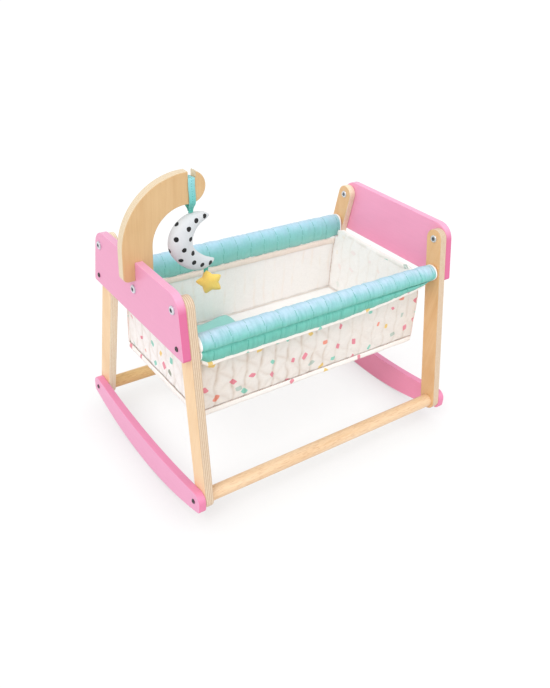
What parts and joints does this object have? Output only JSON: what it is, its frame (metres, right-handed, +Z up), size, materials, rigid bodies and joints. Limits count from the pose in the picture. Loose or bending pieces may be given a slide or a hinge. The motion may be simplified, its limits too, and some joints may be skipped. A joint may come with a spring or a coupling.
{
  "type": "doll bed",
  "caption": "Doll's rocking cradle with splayed plywood legs, curved rockers, a quilted fabric basket on two padded rails, a pillow, and an arm holding a stuffed moon and star.",
  "frame": {"origin": "on the floor under the middle of the cradle, where the rockers touch it", "axes": "+X from the head end, with the arm, to the foot end; +Y across the cradle; +Z up"},
  "size_m": [0.5466, 0.38, 0.4915],
  "materials": {
    "pink_paint": "satin pink water-based paint on plywood, darker on its edges",
    "plywood": "clear satin lacquer on birch-faced plywood, layers showing on the edges",
    "beech": "clear satin lacquer on turned beech",
    "steel": "zinc-plated, satin",
    "dark_steel": "dark burnished, satin",
    "teal_quilt": "light blue to mint cotton, stitched and slightly gathered",
    "confetti_cloth": "off-white quilted cotton with small cut-paper flecks in pink, coral, yellow and green",
    "white_binding": "plain woven binding",
    "board": "grey-brown stiff board",
    "white_pad": "off-white cotton pad",
    "teal_pillow": "mint cotton, lightly padded",
    "teal_ribbon": "woven ribbon with a faint stitch along it",
    "moon_cloth": "short white plush jersey with black dots",
    "star_cloth": "yellow felt"
  },
  "bodies": {
    "frame": {"head_panel": "pink_paint", "foot_panel": "pink_paint", "head_rocker": "pink_paint", "foot_rocker": "pink_paint", "head_near_leg": "plywood", "head_far_leg": "plywood", "foot_near_leg": "plywood", "foot_far_leg": "plywood", "near_stretcher": "beech", "far_stretcher": "beech", "near_rail": "beech", "far_rail": "beech", "mobile_arm": "plywood", "panel_bolts": "steel", "sleeve_nuts": "steel", "arm_bolt": "steel", "arm_nut": "steel", "rail_screws": "dark_steel", "foot_screws": "dark_steel", "near_sleeve": "teal_quilt", "far_sleeve": "teal_quilt", "basket_near_wall": "confetti_cloth", "basket_far_wall": "confetti_cloth", "basket_head_wall": "confetti_cloth", "basket_foot_wall": "confetti_cloth", "basket_head_hem": "white_binding", "basket_foot_hem": "white_binding", "basket_floor": "confetti_cloth", "seam_piping": "white_binding", "base_board": "board", "mattress": "white_pad", "strap_loop": "teal_ribbon"},
    "moon_tab": {"moon_tab": "teal_ribbon"},
    "moon": {"moon": "moon_cloth"},
    "star": {"star_tab": "teal_ribbon", "star": "star_cloth"},
    "pillow": {"pillow": "teal_pillow"}
  },
  "joints": [
    {"name": "moon_swing", "type": "hinge", "parent": "frame", "child": "moon_tab", "pos_m": [-0.16105, 0, 0.4287], "axis": [1, 0, 0], "range_deg": [-45, 45]},
    {"name": "moon_twist", "type": "hinge", "parent": "moon_tab", "child": "moon", "pos_m": [-0.16105, 0, 0.42635], "axis": [0, 0, 1], "range_deg": [-90, 90]},
    {"name": "star_swing", "type": "hinge", "parent": "moon", "child": "star", "pos_m": [-0.1323, 0, 0.3325], "axis": [1, 0, 0], "range_deg": [-45, 45]},
    {"name": "pillow_lift", "type": "slide", "parent": "frame", "child": "pillow", "axis": [0.7314, 0, 0.682], "range_m": [0, 0.4]}
  ]
}
